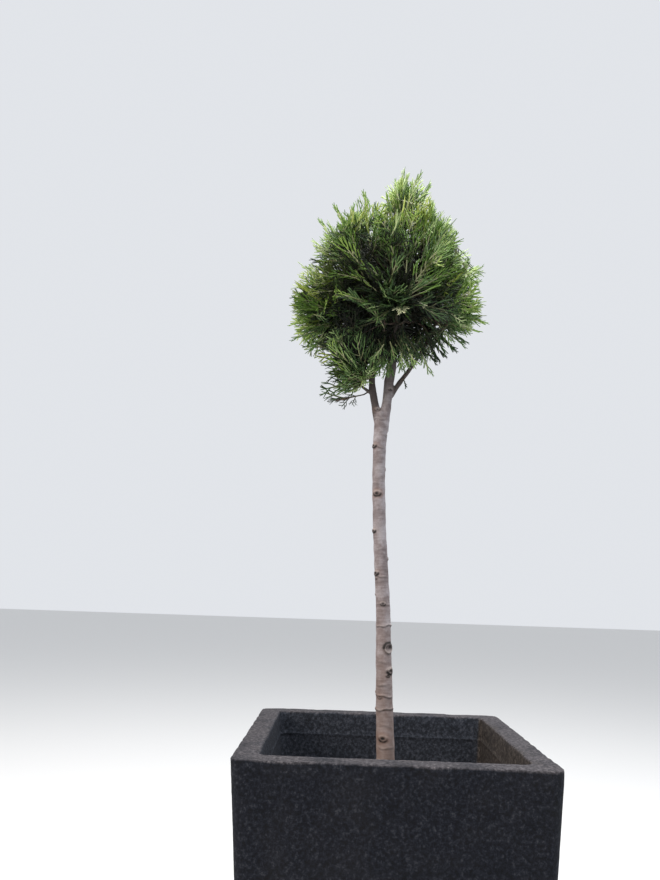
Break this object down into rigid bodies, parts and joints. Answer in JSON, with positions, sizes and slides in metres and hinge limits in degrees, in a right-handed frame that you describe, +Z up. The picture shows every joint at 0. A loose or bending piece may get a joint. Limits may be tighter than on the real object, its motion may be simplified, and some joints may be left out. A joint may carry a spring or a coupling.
{
  "type": "standard lollipop topiary",
  "caption": "Clipped conifer with a dense rounded crown on a bare stem, standing in a square tapered concrete planter filled with soil.",
  "frame": {"origin": "middle of the planter's flat underside", "axes": "+Z up along the stem, -Y towards the front of the planter, +X to the right seen from the front"},
  "size_m": [0.4994, 0.4994, 1.6231],
  "materials": {
    "concrete": "matt anthracite cast concrete with a fine crushed stone speckle, its rim weathered lighter",
    "soil": "dry dark potting soil, matt",
    "bark": "smooth light grey-brown bark with old pruning scars",
    "foliage": "fresh green scale leaves, slightly waxy"
  },
  "bodies": {
    "root": {"planter": "concrete", "soil": "soil", "trunk": "bark", "bough_left": "bark", "bough_leader": "bark", "bough_side": "bark", "bough_low_left": "bark", "bough_front": "bark", "bough_back": "bark", "bough_upper_left": "bark", "bough_upper_right": "bark", "bough_upper_back": "bark", "crown_top": "foliage", "crown_upper_left": "foliage", "crown_upper_right": "foliage", "crown_upper_back": "foliage", "crown_left": "foliage", "crown_right": "foliage", "crown_front": "foliage", "crown_back": "foliage", "crown_low_left": "foliage"}
  },
  "joints": []
}
